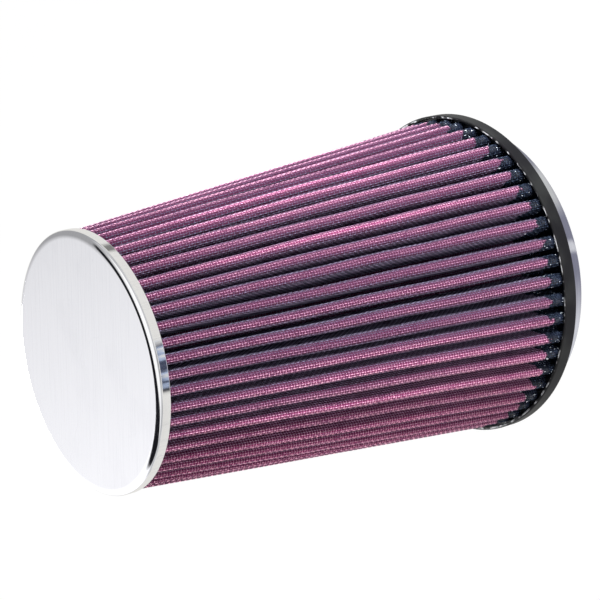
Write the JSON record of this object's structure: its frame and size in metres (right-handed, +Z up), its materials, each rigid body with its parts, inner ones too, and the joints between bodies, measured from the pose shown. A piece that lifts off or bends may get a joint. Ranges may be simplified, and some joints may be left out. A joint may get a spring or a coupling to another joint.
{
  "type": "cone air filter",
  "caption": "Clamp-on cone air filter: pleated cotton and wire pack between a chrome end cap and a moulded base with a flared inlet neck.",
  "frame": {"origin": "centre of the neck's end face, which the filter stands on", "axes": "+Z up along the filter's axis, from the neck to the end cap"},
  "size_m": [0.1524, 0.1524, 0.2378],
  "materials": {
    "chrome": "polished plating with fine hairlines",
    "polished_steel": "polished",
    "wire_screen": "fine woven wire, epoxy coated",
    "cotton": "red-oiled cotton gauze",
    "resin": "glossy potting resin",
    "urethane": "satin moulded urethane"
  },
  "bodies": {
    "root": {"end_cap": "chrome", "cap_potting": "resin", "outer_screen": "wire_screen", "cotton_gauze": "cotton", "inner_screen": "wire_screen", "base_potting": "resin", "base_moulding": "urethane", "base_cup": "polished_steel"}
  },
  "joints": []
}
